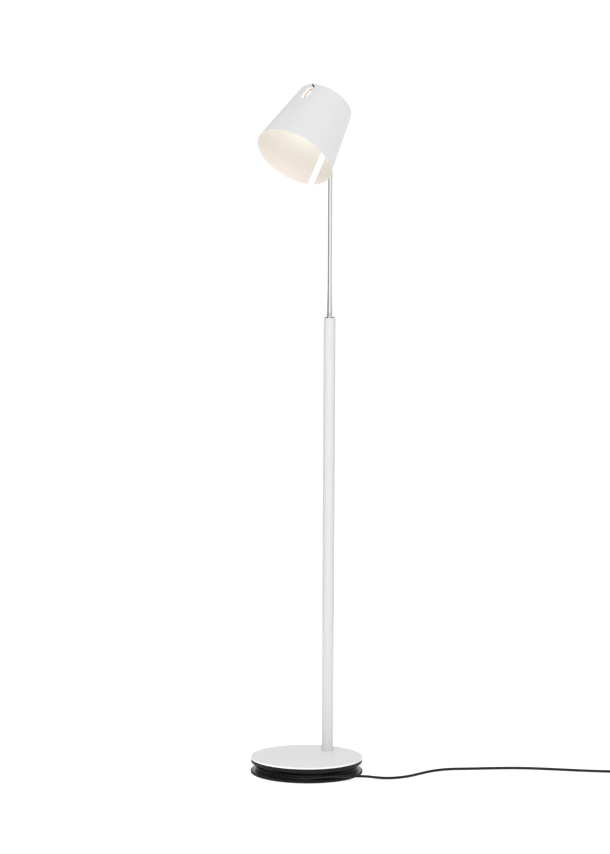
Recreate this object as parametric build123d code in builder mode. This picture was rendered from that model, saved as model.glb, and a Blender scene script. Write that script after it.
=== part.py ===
from build123d import *
from math import asin, cos, degrees, pi, radians, sin, tan
import os

# A floor lamp in millimetres. The base is a reel: the mains cord is wound in its groove.
# A tube stands off-centre on it, a thin rod slides and turns in the tube, and a conical shade tilts
# on the rod's end, with a slot down its back that lets the rod through.
# Origin: centre of the base on the floor. +Z is up, the tube stands towards +Y, the shade faces -Y.

os.makedirs("parts", exist_ok=True)

# ---- base ----
base_radius = 115.0
base_height = 32.5
top_plate_thickness = 3.0
foot_thickness = 1.2
lower_plate_top = 4.0
foot_lip = 2.0
foot_width = 9.0
hub_radius = 100.0
hub_wall = 3.0
groove_top = 21.3
spool_wall = 2.5
spool_rim_radius = base_radius - 0.4
spool_rib_count = 12
weight_radius = hub_radius - hub_wall - 0.5
screw_circle = 84.0
screw_radius = 2.5
screw_count = 4
plate_under = base_height - top_plate_thickness

# ---- cord ----
cord_diameter = 5.6
cord_radius = cord_diameter / 2
turn_radius = hub_radius + 0.2 + cord_radius
turn_heights = [18.3, 12.6, 6.9]
exit_angle = -66.0

# ---- tube and rod ----
tube_y = 72.0
tube_radius = 12.0
tube_wall = 1.5
tube_bore = tube_radius - tube_wall
tube_top = 937.0
foot_plug_height = 30.0
nipple_radius = 5.0
nipple_bore = 3.5
nipple_bottom = 9.0
nipple_top = 60.0
rod_radius = 5.0
rod_wall = 1.0
rod_bottom = 700.0
guide_length = 30.0
running_gap = 0.05

# ---- head ----
pivot_height = 1335.5
tilt = 46.0
pivot_back = 41.3
pivot_depth = 14.8
shade_narrow = 58.2
shade_mouth = 82.3
shade_length = 147.3
shade_wall = 1.5
cap_top = 2.5
cap_thickness = 2.0
back_slot_width = 17.0
front_slot_width = 14.0
front_slot_top = 10.5
front_slot_bottom = 46.0
tongue_half = 3.0
eye_radius = 7.0
pivot_radius = 2.5
washer_thickness = 1.0
cheek_thickness = 3.0
sink_radius = 27.0
sink_core = 17.0
sink_bottom = 34.0
fin_count = 24

# The head's own axes: mouthward along the shade's axis, and towards the shade's back.
mouthward = Vector(0, -sin(radians(tilt)), -cos(radians(tilt)))
backward = Vector(0, cos(radians(tilt)), -sin(radians(tilt)))
pivot = Vector(0, tube_y, pivot_height)
narrow_centre = pivot - mouthward * pivot_depth - backward * pivot_back
# Across the axis: local Y points to the shade's front, local Z to its mouth.
across = Plane(origin=narrow_centre, x_dir=(1, 0, 0), z_dir=mouthward)
# Along the axis: local Y points to the shade's mouth, local Z to its back.
along = Plane(origin=narrow_centre, x_dir=(1, 0, 0), z_dir=backward)
head_axis = Axis(narrow_centre, mouthward)
tube_axis = Axis((0, tube_y, 0), (0, 0, 1))
tube_section = Plane(origin=(0, tube_y, 0), x_dir=(1, 0, 0), z_dir=(0, -1, 0))


def turn(outline, plane=Plane.XZ, axis=Axis.Z, mode=Mode.ADD):
    """Revolve a closed outline of straight edges about an axis, into the open part."""
    with BuildSketch(plane) as section:
        with BuildLine():
            Polyline(outline, close=True)
        make_face()
    revolve(section.sketch, axis=axis, mode=mode)


def ring(inner, outer, low, high, plane=Plane.XZ, axis=Axis.Z, mode=Mode.ADD):
    """A plain ring or, with no inner radius, a disc."""
    turn([(inner, low), (outer, low), (outer, high), (inner, high)], plane, axis, mode)


def post(plane, low, high, radius, mode=Mode.ADD):
    """A round post or hole between two heights over a plane."""
    with BuildSketch(plane.offset(low)) as section:
        Circle(radius)
    extrude(section.sketch, amount=high - low, mode=mode)


def slab(plane, low, high, centre, size, mode=Mode.ADD):
    """A rectangular block between two heights over a plane."""
    with BuildSketch(plane.offset(low)) as section:
        with Locations(centre):
            Rectangle(*size)
    extrude(section.sketch, amount=high - low, mode=mode)


def turned_plane(plane, angle):
    """A plane turned about its own normal, by an angle in degrees."""
    turned_x = plane.x_dir * cos(radians(angle)) + plane.y_dir * sin(radians(angle))
    return Plane(origin=plane.origin, x_dir=turned_x, z_dir=plane.z_dir)


def wide_rims(piece, radius):
    """The circular edges of a part that are wider than a radius."""
    return piece.edges().filter_by(GeomType.CIRCLE).filter_by(lambda edge: edge.radius > radius)


def save(piece, name):
    piece.part.label = name
    export_step(piece.part, f"parts/{name}.step")


def on_circle(radius, count, first=0.0):
    """Points evenly spaced on a circle about the base's centre."""
    angles = [radians(first) + 2 * pi * index / count for index in range(count)]
    return [(radius * cos(angle), radius * sin(angle)) for angle in angles]


# ================= base =================

# Rubber rim: a ring to stand on, with a lip round the lower plate's edge.
with BuildPart() as foot_rim:
    turn([
        (base_radius - foot_width, 0),
        (base_radius, 0),
        (base_radius, lower_plate_top),
        (base_radius - foot_lip, lower_plate_top),
        (base_radius - foot_lip, foot_thickness),
        (base_radius - foot_width, foot_thickness),
    ])
    fillet(foot_rim.edges().group_by(Axis.Z)[-1].sort_by(SortBy.LENGTH)[-1], 0.8)
    fillet(foot_rim.edges().group_by(Axis.Z)[0].sort_by(SortBy.LENGTH)[-1], 0.3)
save(foot_rim, "foot_rim")

screw_points = on_circle(screw_circle, screw_count, 45.0)
screw_head_radius = 4.8
screw_head_depth = screw_head_radius - screw_radius

# Steel plate that closes the reel below, and is the groove's lower flange.
with BuildPart() as lower_plate:
    ring(0, base_radius - foot_lip, foot_thickness, lower_plate_top)
    with Locations(Plane.XY.offset(foot_thickness)):
        with Locations(*[Location((x, y, 0), (180, 0, 0)) for x, y in screw_points]):
            CounterSinkHole(screw_radius, screw_head_radius, lower_plate_top)
save(lower_plate, "lower_plate")

# Moulded spool: hub wall, groove ceiling and outer rim, stiffened by ribs under the top plate.
exit_dir = Vector(cos(radians(exit_angle)), sin(radians(exit_angle)), 0)
exit_plane = Plane(origin=(0, 0, turn_heights[0]), x_dir=(-exit_dir.Y, exit_dir.X, 0), z_dir=exit_dir)
grommet_size = (15.0, 5.2)
grommet_flange = (18.0, 5.2)
grommet_shoulder = hub_radius - hub_wall - 0.5
grommet_inner = grommet_shoulder - 2.5
with BuildPart() as cord_spool:
    ring(hub_radius - hub_wall, hub_radius, lower_plate_top, plate_under)
    ring(hub_radius, spool_rim_radius, groove_top, groove_top + spool_wall)
    ring(spool_rim_radius - spool_wall, spool_rim_radius, groove_top, plate_under)
    for index in range(spool_rib_count):
        rib_plane = turned_plane(Plane.XY, 360 / spool_rib_count * index)
        rib_middle = (hub_radius + spool_rim_radius - spool_wall) / 2
        rib_length = spool_rim_radius - spool_wall - hub_radius + 1
        slab(rib_plane, groove_top + spool_wall - 0.5, plate_under - 0.2, (rib_middle, 0), (rib_length, 1.6))
    slab(exit_plane, hub_radius - hub_wall - 1, hub_radius + 0.5, (0, 0), grommet_size, Mode.SUBTRACT)
    fillet(wide_rims(cord_spool, spool_rim_radius - 0.1).group_by(Axis.Z)[0], 1.2)
save(cord_spool, "cord_spool")

# Cast weight that fills the reel, with pockets for the driver, the leads and the nipple's nut.
driver_centre = (38.6, -9.0)
driver_size = (33.0, 72.0)
driver_low = 5.0
driver_high = 23.0
driver_lead_height = 7.0
weight_low = lower_plate_top + 0.1
pocket_size = (driver_size[0] + 2, driver_size[1] + 2)
channel_width = 12.0
channel_top = turn_heights[0] + 6
with BuildPart() as base_weight:
    ring(0, weight_radius, weight_low, plate_under)
    slab(Plane.XY, weight_low, driver_high + 1, driver_centre, pocket_size, Mode.SUBTRACT)
    slab(Plane.XY, weight_low, channel_top, (driver_centre[0], -72), (channel_width, 60), Mode.SUBTRACT)
    slab(Plane.XY, weight_low, weight_low + 6, (30, 42), (28, 40), Mode.SUBTRACT)
    slab(Plane.XY, weight_low, weight_low + 6, (12, 66), (30, 24), Mode.SUBTRACT)
    slab(exit_plane, weight_radius - 8, weight_radius + 1, (0, 0), (grommet_flange[0] + 2, 9), Mode.SUBTRACT)
    nut_seat = 14.0
    nut_plane = Plane(origin=(0, tube_y, 0))
    post(nut_plane, weight_low, nut_seat, 13.0, Mode.SUBTRACT)
    post(nut_plane, nut_seat - 1, plate_under, nipple_radius + 0.3, Mode.SUBTRACT)
    with Locations(*[(x, y, plate_under) for x, y in screw_points]):
        Hole(screw_radius + 0.3)
save(base_weight, "base_weight")

# White steel plate on top, with blind tapped holes below for the screws.
tapped_depth = 2.0
with BuildPart() as top_plate:
    ring(0, base_radius, plate_under, base_height)
    fillet(top_plate.edges().group_by(Axis.Z)[-1], 0.6)
    post(nut_plane, plate_under, base_height, nipple_radius + 0.1, Mode.SUBTRACT)
    for x, y in screw_points:
        post(Plane(origin=(x, y, 0)), plate_under, plate_under + tapped_depth, screw_radius, Mode.SUBTRACT)
save(top_plate, "top_plate")

# Countersunk screws, up through everything into the top plate.
with BuildPart() as base_screws:
    head_low = foot_thickness + 0.1
    for x, y in screw_points:
        here = Plane(origin=(x, y, 0), x_dir=(1, 0, 0), z_dir=(0, -1, 0))
        turn([
            (0, head_low),
            (screw_head_radius - 0.15, head_low),
            (screw_radius - 0.05, head_low + screw_head_depth),
            (screw_radius - 0.05, plate_under + tapped_depth - 0.1),
            (0, plate_under + tapped_depth - 0.1),
        ], here, Axis((x, y, 0), (0, 0, 1)))
        with BuildSketch(Plane(origin=(x, y, head_low))) as socket:
            RegularPolygon(1.7, 6)
        extrude(socket.sketch, amount=1.8, mode=Mode.SUBTRACT)
save(base_screws, "base_screws")

# Threaded hollow nipple that holds the tube to the base, with its washer and nut.
with BuildPart() as pole_nipple:
    ring(nipple_bore, nipple_radius, nipple_bottom, nipple_top, tube_section, tube_axis)
    chamfer(wide_rims(pole_nipple, nipple_bore + 1), 0.6)
save(pole_nipple, "pole_nipple")

washer_low = nut_seat - 1.5
nut_low = nipple_bottom - 1
with BuildPart() as nipple_washer:
    ring(nipple_radius + 0.2, 11.0, washer_low, nut_seat, tube_section, tube_axis)
save(nipple_washer, "nipple_washer")

with BuildPart() as nipple_nut:
    with BuildSketch(nut_plane.offset(nut_low + 1)):
        RegularPolygon(8.1, 6)
        Circle(nipple_radius, mode=Mode.SUBTRACT)
    extrude(amount=washer_low - nut_low - 1)
save(nipple_nut, "nipple_nut")

# Grommet in the hub wall, where the cord comes out into the groove.
with BuildPart() as cord_grommet:
    slab(exit_plane, grommet_inner, grommet_shoulder, (0, 0), grommet_flange)
    slab(exit_plane, grommet_shoulder, hub_radius - 0.4, (0, 0), grommet_size)
save(cord_grommet, "cord_grommet")

# ================= leads inside the base =================


def tangent_radii(points):
    """The arc at each corner of a route: as large as its two runs allow."""
    radii = []
    for before, here, after in zip(points, points[1:], points[2:]):
        run_in = Vector(*here) - Vector(*before)
        run_out = Vector(*after) - Vector(*here)
        half_turn = radians(run_in.get_angle(run_out) / 2)
        radii.append(0.45 * min(run_in.length, run_out.length) / tan(half_turn))
    return radii


def tube_along(points, radius, name):
    """A lead: straight runs joined by tangent arcs, swept with a round section."""
    radii = tangent_radii(points)
    with BuildLine():
        route = FilletPolyline(*points, radius=radii)
    with BuildSketch(Plane(route @ 0, z_dir=route % 0)) as section:
        Circle(radius)
    sweep(section.sketch, path=route)
    print(name, "radii", [round(r) for r in radii], "length", round(route.length))


lead_radius = 2.2
lead_start = exit_dir * (grommet_inner - 1.0)
with BuildPart() as base_lead:
    tube_along([
        (lead_start.X, lead_start.Y, turn_heights[0]),
        (lead_start.X - 1, lead_start.Y + 16, turn_heights[0] - 1),
        (driver_centre[0], driver_centre[1] - driver_size[1] / 2 - 0.3, 14),
    ], lead_radius, "base_lead")
save(base_lead, "base_lead")

driver_plane = Plane(origin=(*driver_centre, 0))
with BuildPart() as driver_case:
    slab(driver_plane, driver_low, driver_high, (0, 0), driver_size)
    fillet(driver_case.edges().filter_by(Axis.Z), 3)
    chamfer(driver_case.edges().group_by(Axis.Z)[-1], 1)
save(driver_case, "driver_case")

wire_radius = 1.5
driver_end = driver_centre[1] + driver_size[1] / 2
with BuildPart() as driver_lead:
    tube_along([
        (driver_centre[0] - 4, driver_end + 0.3, driver_lead_height),
        (driver_centre[0] - 5, driver_end + 16, driver_lead_height),
        (22, 58, driver_lead_height - 0.3),
        (11, tube_y - 2, driver_lead_height - 0.8),
        (0, tube_y, driver_lead_height - 0.8),
        (0, tube_y, nipple_bottom + 9),
    ], wire_radius, "driver_lead")
save(driver_lead, "driver_lead")

# ================= tube and rod =================

# Steel plug in the tube's foot, tapped for the nipple.
with BuildPart() as pole_foot_plug:
    ring(nipple_radius, tube_bore, base_height, base_height + foot_plug_height, tube_section, tube_axis)
    chamfer(pole_foot_plug.edges().group_by(Axis.Z)[-1], 0.8)
save(pole_foot_plug, "pole_foot_plug")

with BuildPart() as pole_tube:
    ring(tube_bore, tube_radius, base_height, tube_top, tube_section, tube_axis)
    fillet(pole_tube.edges().group_by(Axis.Z)[-1].sort_by(SortBy.LENGTH)[-1], 0.8)
save(pole_tube, "pole_tube")

# Dark plastic bush in the tube's mouth, in which the rod slides and turns.
bush_length = 32.0
bush_top = tube_top - 0.3
rod_hole = rod_radius + running_gap
with BuildPart() as pole_top_bush:
    ring(rod_hole, tube_bore, bush_top - bush_length, bush_top, tube_section, tube_axis)
    chamfer(pole_top_bush.edges().group_by(Axis.Z)[0], 0.8)
save(pole_top_bush, "pole_top_bush")

# Tapered metal collar on the bush.
collar_height = 9.5
with BuildPart() as rod_collar:
    turn([
        (rod_radius + 0.3, bush_top),
        (6.9, bush_top),
        (6.9, bush_top + 1.5),
        (5.9, bush_top + collar_height),
        (rod_radius + 0.3, bush_top + collar_height),
    ], tube_section, tube_axis)
save(rod_collar, "rod_collar")

# Nylon guide on the rod's lower end, gripped by a rubber ring that holds the height.
guide_low = rod_bottom + 4
guide_high = guide_low + guide_length
guide_radius = tube_bore - running_gap
groove_depth = 1.6
groove_low = guide_low + guide_length / 2 - 2
groove_high = groove_low + 4
with BuildPart() as rod_guide:
    turn([
        (rod_hole, guide_low),
        (guide_radius, guide_low),
        (guide_radius, groove_low),
        (guide_radius - groove_depth, groove_low),
        (guide_radius - groove_depth, groove_high),
        (guide_radius, groove_high),
        (guide_radius, guide_high),
        (rod_hole, guide_high),
    ], tube_section, tube_axis)
save(rod_guide, "rod_guide")

with BuildPart() as guide_friction_ring:
    ring(guide_radius - groove_depth, guide_radius, groove_low, groove_high, tube_section, tube_axis)
    fillet(wide_rims(guide_friction_ring, guide_radius - 0.1), 0.8)
save(guide_friction_ring, "guide_friction_ring")

knuckle_top_of_rod = pivot_height - 12.0
with BuildPart() as inner_rod:
    ring(rod_radius - rod_wall, rod_radius, rod_bottom, knuckle_top_of_rod, tube_section, tube_axis)
save(inner_rod, "inner_rod")

# Two rings pressed on the rod, one each side of the guide.
stop_thickness = 2.5
with BuildPart() as rod_stop_rings:
    for low in (guide_low - 0.2 - stop_thickness, guide_high + 0.2):
        ring(rod_radius, 7.5, low, low + stop_thickness, tube_section, tube_axis)
save(rod_stop_rings, "rod_stop_rings")

# Curly lead between the nipple and the rod, which stretches as the rod rises.
with BuildPart() as pole_coil_lead:
    ring(0, 6.0, base_height + foot_plug_height + 1.5, rod_bottom - 2, tube_section, tube_axis)
save(pole_coil_lead, "pole_coil_lead")

with BuildPart() as rod_lead:
    ring(0, 2.0, rod_bottom - 1, knuckle_top_of_rod - 2, tube_section, tube_axis)
save(rod_lead, "rod_lead")

# Turned knuckle on the rod's end: a socket for the rod, then a flat tongue with the pivot's eye.
socket_radius = 6.5
socket_top = pivot_height - 9.5
socket_bottom = pivot_height - 24.0
pivot_plane = Plane(origin=pivot, x_dir=(0, 1, 0), z_dir=(1, 0, 0))
with BuildPart() as rod_knuckle:
    ring(0, socket_radius, socket_bottom, socket_top, tube_section, tube_axis)
    fillet(rod_knuckle.edges().group_by(Axis.Z)[0], 1.0)
    ring(0, rod_radius, socket_bottom - 1, knuckle_top_of_rod, tube_section, tube_axis, Mode.SUBTRACT)
    with BuildSketch(pivot_plane.offset(-tongue_half)) as tongue:
        Circle(eye_radius)
        with Locations((0, (socket_top - pivot_height) / 2)):
            Rectangle(2 * eye_radius - 2.5, pivot_height - socket_top)
    extrude(tongue.sketch, amount=2 * tongue_half)
    post(pivot_plane, -tongue_half, tongue_half, pivot_radius + running_gap, Mode.SUBTRACT)
save(rod_knuckle, "rod_knuckle")

# ================= head =================

cheek_inner = tongue_half + 0.1 + washer_thickness
cheek_outer = cheek_inner + cheek_thickness
cap_low = cap_top + cap_thickness
bracket_base = 2.0

# Shoulder screw through both cheeks and the tongue, with a nut on its far end.
nut_thickness = 3.2
with BuildPart() as pivot_screw:
    post(pivot_plane, -cheek_outer - nut_thickness - 1, cheek_outer, pivot_radius)
    post(pivot_plane, cheek_outer, cheek_outer + 2.8, 4.5)
    fillet(pivot_screw.edges().group_by(Axis.X)[-1], 0.8)
    with BuildSketch(pivot_plane.offset(cheek_outer + 1.2)) as socket:
        RegularPolygon(1.7, 6)
    extrude(socket.sketch, amount=2, mode=Mode.SUBTRACT)
save(pivot_screw, "pivot_screw")

with BuildPart() as pivot_nut:
    with BuildSketch(pivot_plane.offset(-cheek_outer - nut_thickness)):
        RegularPolygon(4.6, 6)
        Circle(pivot_radius, mode=Mode.SUBTRACT)
    extrude(amount=nut_thickness)
save(pivot_nut, "pivot_nut")

with BuildPart() as friction_washers:
    for low in (tongue_half + 0.1, -cheek_inner):
        post(pivot_plane, low, low + washer_thickness, 6.0)
    post(pivot_plane, -cheek_inner, cheek_inner, pivot_radius, Mode.SUBTRACT)
save(friction_washers, "friction_washers")

# Folded bracket under the cap: a base with two screws, and a cheek each side of the tongue.
bracket_half_width = 18.0
bracket_screw_x = 13.0
bracket_length = 18.0
pivot_spot = (0, -pivot_back)
screw_shank = 1.5
sink_screw_circle = 11.0
sink_screw_spots = on_circle(sink_screw_circle, 3, 90.0)
bracket_screw_spots = [(-bracket_screw_x, -pivot_back), (bracket_screw_x, -pivot_back)]


def spot_plane(x, y):
    """The plane across the shade's axis, moved to a spot on it."""
    return Plane(origin=across.from_local_coords((x, y, 0)), x_dir=(1, 0, 0), z_dir=mouthward)


with BuildPart() as head_bracket:
    slab(across, cap_low, cap_low + bracket_base, pivot_spot, (2 * bracket_half_width, bracket_length))
    for low in (cheek_inner, -cheek_outer):
        with BuildSketch(pivot_plane.offset(low)) as cheek:
            Circle(eye_radius)
        extrude(cheek.sketch, amount=cheek_thickness)
    for x in (cheek_inner + cheek_thickness / 2, -cheek_inner - cheek_thickness / 2):
        slab(across, cap_low, pivot_depth, (x, -pivot_back), (cheek_thickness, 2 * eye_radius))
    post(pivot_plane, -cheek_outer, cheek_outer, pivot_radius, Mode.SUBTRACT)
    for x, y in bracket_screw_spots:
        post(spot_plane(x, y), cap_low, cap_low + bracket_base, screw_shank, Mode.SUBTRACT)
save(head_bracket, "head_bracket")

# Disc that closes the shade's narrow end, a little below its rim.
slope = (shade_mouth - shade_narrow) / shade_length


def inner_wall(depth):
    """The shade's inner radius at a depth below its narrow rim."""
    return shade_narrow + slope * depth - shade_wall


with BuildPart() as shade_cap:
    turn([
        (0, cap_top),
        (inner_wall(cap_top), cap_top),
        (inner_wall(cap_low), cap_low),
        (0, cap_low),
    ], along, head_axis)
    for x, y in sink_screw_spots + bracket_screw_spots:
        post(spot_plane(x, y), cap_top, cap_low, screw_shank, Mode.SUBTRACT)
save(shade_cap, "shade_cap")


sink_thread = 7.0
pan_radius = 2.9
pan_height = 1.6


def pan_screws(spots, length):
    """Low round-headed screws down through the cap."""
    for x, y in spots:
        post(spot_plane(x, y), cap_top - pan_height, cap_top, pan_radius)
        post(spot_plane(x, y), cap_top, cap_top + length, screw_shank)


with BuildPart() as bracket_screws:
    pan_screws(bracket_screw_spots, cap_thickness + bracket_base)
save(bracket_screws, "bracket_screws")

with BuildPart() as heat_sink_screws:
    pan_screws(sink_screw_spots, cap_thickness + sink_thread)
save(heat_sink_screws, "heat_sink_screws")

# Spun conical shade. Its back slot runs out through the mouth, its front slot is closed.
button_x = 5.3
button_depth = 8.0
button_radius = 1.5
with BuildPart() as shade:
    turn([
        (shade_narrow - shade_wall, 0),
        (shade_narrow, 0),
        (shade_mouth, shade_length),
        (shade_mouth - shade_wall, shade_length),
    ], along, head_axis)
    fillet(shade.edges().filter_by(GeomType.CIRCLE), 0.5)
    with BuildSketch(along) as back_slot:
        with Locations((0, pivot_depth)):
            Circle(back_slot_width / 2)
        with Locations((0, pivot_depth + shade_length / 2)):
            Rectangle(back_slot_width, shade_length)
    extrude(back_slot.sketch, amount=shade_mouth + 5, mode=Mode.SUBTRACT)
    with BuildSketch(along) as front_slot:
        with Locations((0, (front_slot_top + front_slot_bottom) / 2)):
            SlotOverall(front_slot_bottom - front_slot_top, front_slot_width, rotation=90)
        with Locations((button_x, button_depth)):
            Circle(button_radius + 0.3)
    extrude(front_slot.sketch, amount=-shade_mouth, mode=Mode.SUBTRACT)
save(shade, "shade")

# Heat sink: a core with radial fins, screwed up to the cap.
with BuildPart() as heat_sink:
    ring(0, sink_core, cap_low, sink_bottom, along, head_axis)
    ring(0, sink_radius, sink_bottom - 4, sink_bottom, along, head_axis)
    for index in range(fin_count):
        fin_plane = turned_plane(across, 360 / fin_count * index)
        fin_length = sink_radius - sink_core + 1
        fin_middle = sink_radius - fin_length / 2
        slab(fin_plane, cap_low + 1.5, sink_bottom - 3, (fin_middle, 0), (fin_length, 1.6))
    for x, y in sink_screw_spots:
        post(spot_plane(x, y), cap_low, cap_low + sink_thread, screw_shank, Mode.SUBTRACT)
save(heat_sink, "heat_sink")

board_thickness = 1.6
emitter_thickness = 1.0
with BuildPart() as led_board:
    ring(0, 20.0, sink_bottom, sink_bottom + board_thickness, along, head_axis)
save(led_board, "led_board")

emitter_low = sink_bottom + board_thickness
with BuildPart() as led_emitter:
    ring(0, 10.0, emitter_low, emitter_low + emitter_thickness, along, head_axis)
save(led_emitter, "led_emitter")

# Opal dome over the light, and the ring that holds its edge to the heat sink.
dome_radius = 24.0
dome_drop = 12.0
dome_wall = 1.8
dome_sphere = (dome_radius**2 + dome_drop**2) / (2 * dome_drop)
dome_centre = (0, sink_bottom + dome_drop - dome_sphere)
dome_start = degrees(asin((dome_sphere - dome_drop) / dome_sphere))
inner_start = degrees(asin((dome_sphere - dome_drop) / (dome_sphere - dome_wall)))
with BuildPart() as diffuser:
    with BuildSketch(along):
        with BuildLine():
            dome_out = CenterArc(dome_centre, dome_sphere, dome_start, 90 - dome_start)
            dome_in = CenterArc(dome_centre, dome_sphere - dome_wall, inner_start, 90 - inner_start)
            Line(dome_out @ 1, dome_in @ 1)
            Line(dome_in @ 0, dome_out @ 0)
        make_face()
    revolve(axis=head_axis)
save(diffuser, "diffuser")

with BuildPart() as lens_ring:
    ring(dome_radius + 0.1, sink_radius, sink_bottom, sink_bottom + 3, along, head_axis)
    chamfer(wide_rims(lens_ring, sink_radius - 0.1).sort_by(head_axis)[-1], 0.8)
save(lens_ring, "lens_ring")

# Switch under the cap, worked by a small pin beside the front slot.
block_inner = 38.0
block_outer = 52.0
button_out = shade_narrow + slope * button_depth + 7.0
button_in = block_outer - 6.0
across_button = Plane(
    origin=narrow_centre + mouthward * button_depth + Vector(button_x, 0, 0), x_dir=(1, 0, 0), z_dir=-backward
)
with BuildPart() as switch_block:
    block_middle = (block_inner + block_outer) / 2
    slab(across, cap_low, cap_low + 9, (button_x, block_middle), (12, block_outer - block_inner))
    post(across_button, button_in - 2.5, block_outer, button_radius + running_gap, Mode.SUBTRACT)
save(switch_block, "switch_block")

with BuildPart() as switch_pin:
    post(across_button, button_in, button_out, button_radius)
    fillet(switch_pin.edges().sort_by(Axis(pivot, -backward))[-1], 0.7)
save(switch_pin, "switch_pin")

# ================= free cord =================

coil_radius = 32.0
coil_side = cord_diameter / 2
strap_wall = 0.8
strap_gap = 0.1
coil_lift = strap_wall + strap_gap

# The lead leaves the lowest turn, rises over the lower flange's rim and lies on the floor.
lead_route = [
    (66.2, -78.9, 7.2),
    (93.8, -55.8, 10.5),
    (113.7, -38.4, 11.8),
    (133.0, -15.0, 10.6),
    (146.5, 8.0, 8.2),
    (159.5, 26.0, 4.4),
    (176.0, 40.0, cord_radius),
    (191.0, 58.5, cord_radius),
    (200.5, 85.0, cord_radius),
    (203.5, 117.0, cord_radius),
    (207.5, 156.0, cord_radius),
    (225.5, 192.0, cord_radius),
    (257.0, 218.5, cord_radius),
    (292.0, 252.5, cord_radius),
    (331.0, 286.0, cord_radius),
    (376.0, 311.5, cord_radius),
    (424.0, 333.5, cord_radius),
    (470.0, 356.0, cord_radius),
    (512.0, 379.0, cord_radius + 0.4),
    (552.0, 399.5, cord_radius + coil_lift),
]
with BuildPart() as cord_lead:
    tube_along(lead_route, cord_radius, "cord_lead")
save(cord_lead, "cord_lead")

# The wound turns, as one ring of their outer shape.
with BuildPart() as cord_winding:
    ring(hub_radius + 0.2, turn_radius + cord_radius, lower_plate_top + 0.1, turn_heights[0] + cord_radius)
    fillet(cord_winding.edges(), 1.5)
save(cord_winding, "cord_winding")

# The put-away coil: two turns side by side, a strap's thickness off the floor, and one on them.
arrival = Vector(*lead_route[-1]) - Vector(*lead_route[-2])
heading = Vector(arrival.X, arrival.Y, 0).normalized()
leftward = Vector(-heading.Y, heading.X, 0)
coil_centre = Vector(*lead_route[-1]) - leftward * (coil_radius + coil_side)
low_turn = cord_radius + coil_lift
top_turn = low_turn + cord_diameter * sin(radians(60))
coil_spot = (coil_centre.X, coil_centre.Y, 0)
coil_spots = [
    (coil_radius - coil_side, low_turn),
    (coil_radius + coil_side, low_turn),
    (coil_radius, top_turn),
]
coil_axis = Axis(coil_spot, (0, 0, 1))
with BuildPart() as cord_coil:
    with BuildSketch(Plane(origin=coil_spot, x_dir=(1, 0, 0), z_dir=(0, -1, 0))):
        for spot in coil_spots:
            with Locations(spot):
                Circle(cord_radius)
        make_hull()
    revolve(axis=coil_axis)
save(cord_coil, "cord_coil")

# The end of the cord, from the coil's top turn down to the plug.
leave = coil_centre + leftward * coil_radius
plug_height = 6.85


def beside(origin, ahead, aside, height):
    """A place ahead of and beside a point, at a height over the floor."""
    spot = origin + heading * ahead + leftward * aside
    return (spot.X, spot.Y, height)


tail_route = [
    beside(leave, 2, 0, top_turn + 0.4),
    beside(leave, 26, 0.5, top_turn + 0.4),
    beside(leave, 48, -3, plug_height + 0.4),
    beside(leave, 68, -9, plug_height),
]
with BuildPart() as cord_tail:
    tube_along(tail_route, cord_radius, "cord_tail")
save(cord_tail, "cord_tail")

# Strap round the coil, on the side away from the lead.
strap_arc = 22.0
strap_start = turned_plane(Plane(origin=coil_spot, x_dir=-leftward, z_dir=(0, 0, 1)), -strap_arc / 2)
strap_section = Plane(origin=coil_spot, x_dir=strap_start.x_dir, z_dir=-strap_start.y_dir)
with BuildPart() as cord_tie:
    for grow, mode in ((strap_wall + strap_gap, Mode.ADD), (strap_gap, Mode.SUBTRACT)):
        with BuildSketch(strap_section) as loop:
            for spot in coil_spots:
                with Locations(spot):
                    Circle(cord_radius + grow)
            make_hull()
        revolve(loop.sketch, axis=coil_axis, revolution_arc=strap_arc, mode=mode)
save(cord_tie, "cord_tie")

# Flat two-pin plug lying on its side, with a tapered boot.
plug_start = Vector(*tail_route[-1])
last_run = plug_start - Vector(*tail_route[-2])
plug_dir = Vector(last_run.X, last_run.Y, 0).normalized()
plug_across = Vector(-plug_dir.Y, plug_dir.X, 0)
plug_plane = Plane(origin=plug_start, x_dir=plug_across, z_dir=plug_dir)
boot_length = 22.0
plug_length = 36.0
plug_width = 35.0
plug_depth = 2 * plug_height - 0.2
pin_length = 19.0
pin_spread = 9.2
with BuildPart() as plug_boot:
    with BuildSketch(plug_plane):
        Circle(cord_radius + 0.6)
    with BuildSketch(plug_plane.offset(boot_length)):
        Circle(5.2)
    loft()
save(plug_boot, "plug_boot")

with BuildPart() as plug_body:
    with BuildSketch(plug_plane.offset(boot_length)):
        RectangleRounded(14.0, 11.6, 4.0)
    with BuildSketch(plug_plane.offset(boot_length + 15)):
        RectangleRounded(plug_width, plug_depth, 4.0)
    loft()
    with BuildSketch(plug_plane.offset(boot_length + 15)):
        RectangleRounded(plug_width, plug_depth, 4.0)
    extrude(amount=plug_length - 15)
    fillet(plug_body.edges().sort_by(Axis(plug_start, plug_dir))[-4:], 0.6)
save(plug_body, "plug_body")

with BuildPart() as plug_pins:
    with BuildSketch(plug_plane.offset(boot_length + plug_length)):
        with Locations((-pin_spread, 0), (pin_spread, 0)):
            Circle(2.0)
    extrude(amount=pin_length)
    fillet(plug_pins.edges().sort_by(Axis(plug_start, plug_dir))[-2:], 1.2)
save(plug_pins, "plug_pins")
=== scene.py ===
from math import cos, pi, radians, sin, tan

import bmesh
import bpy
from mathutils import Matrix, Vector


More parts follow.
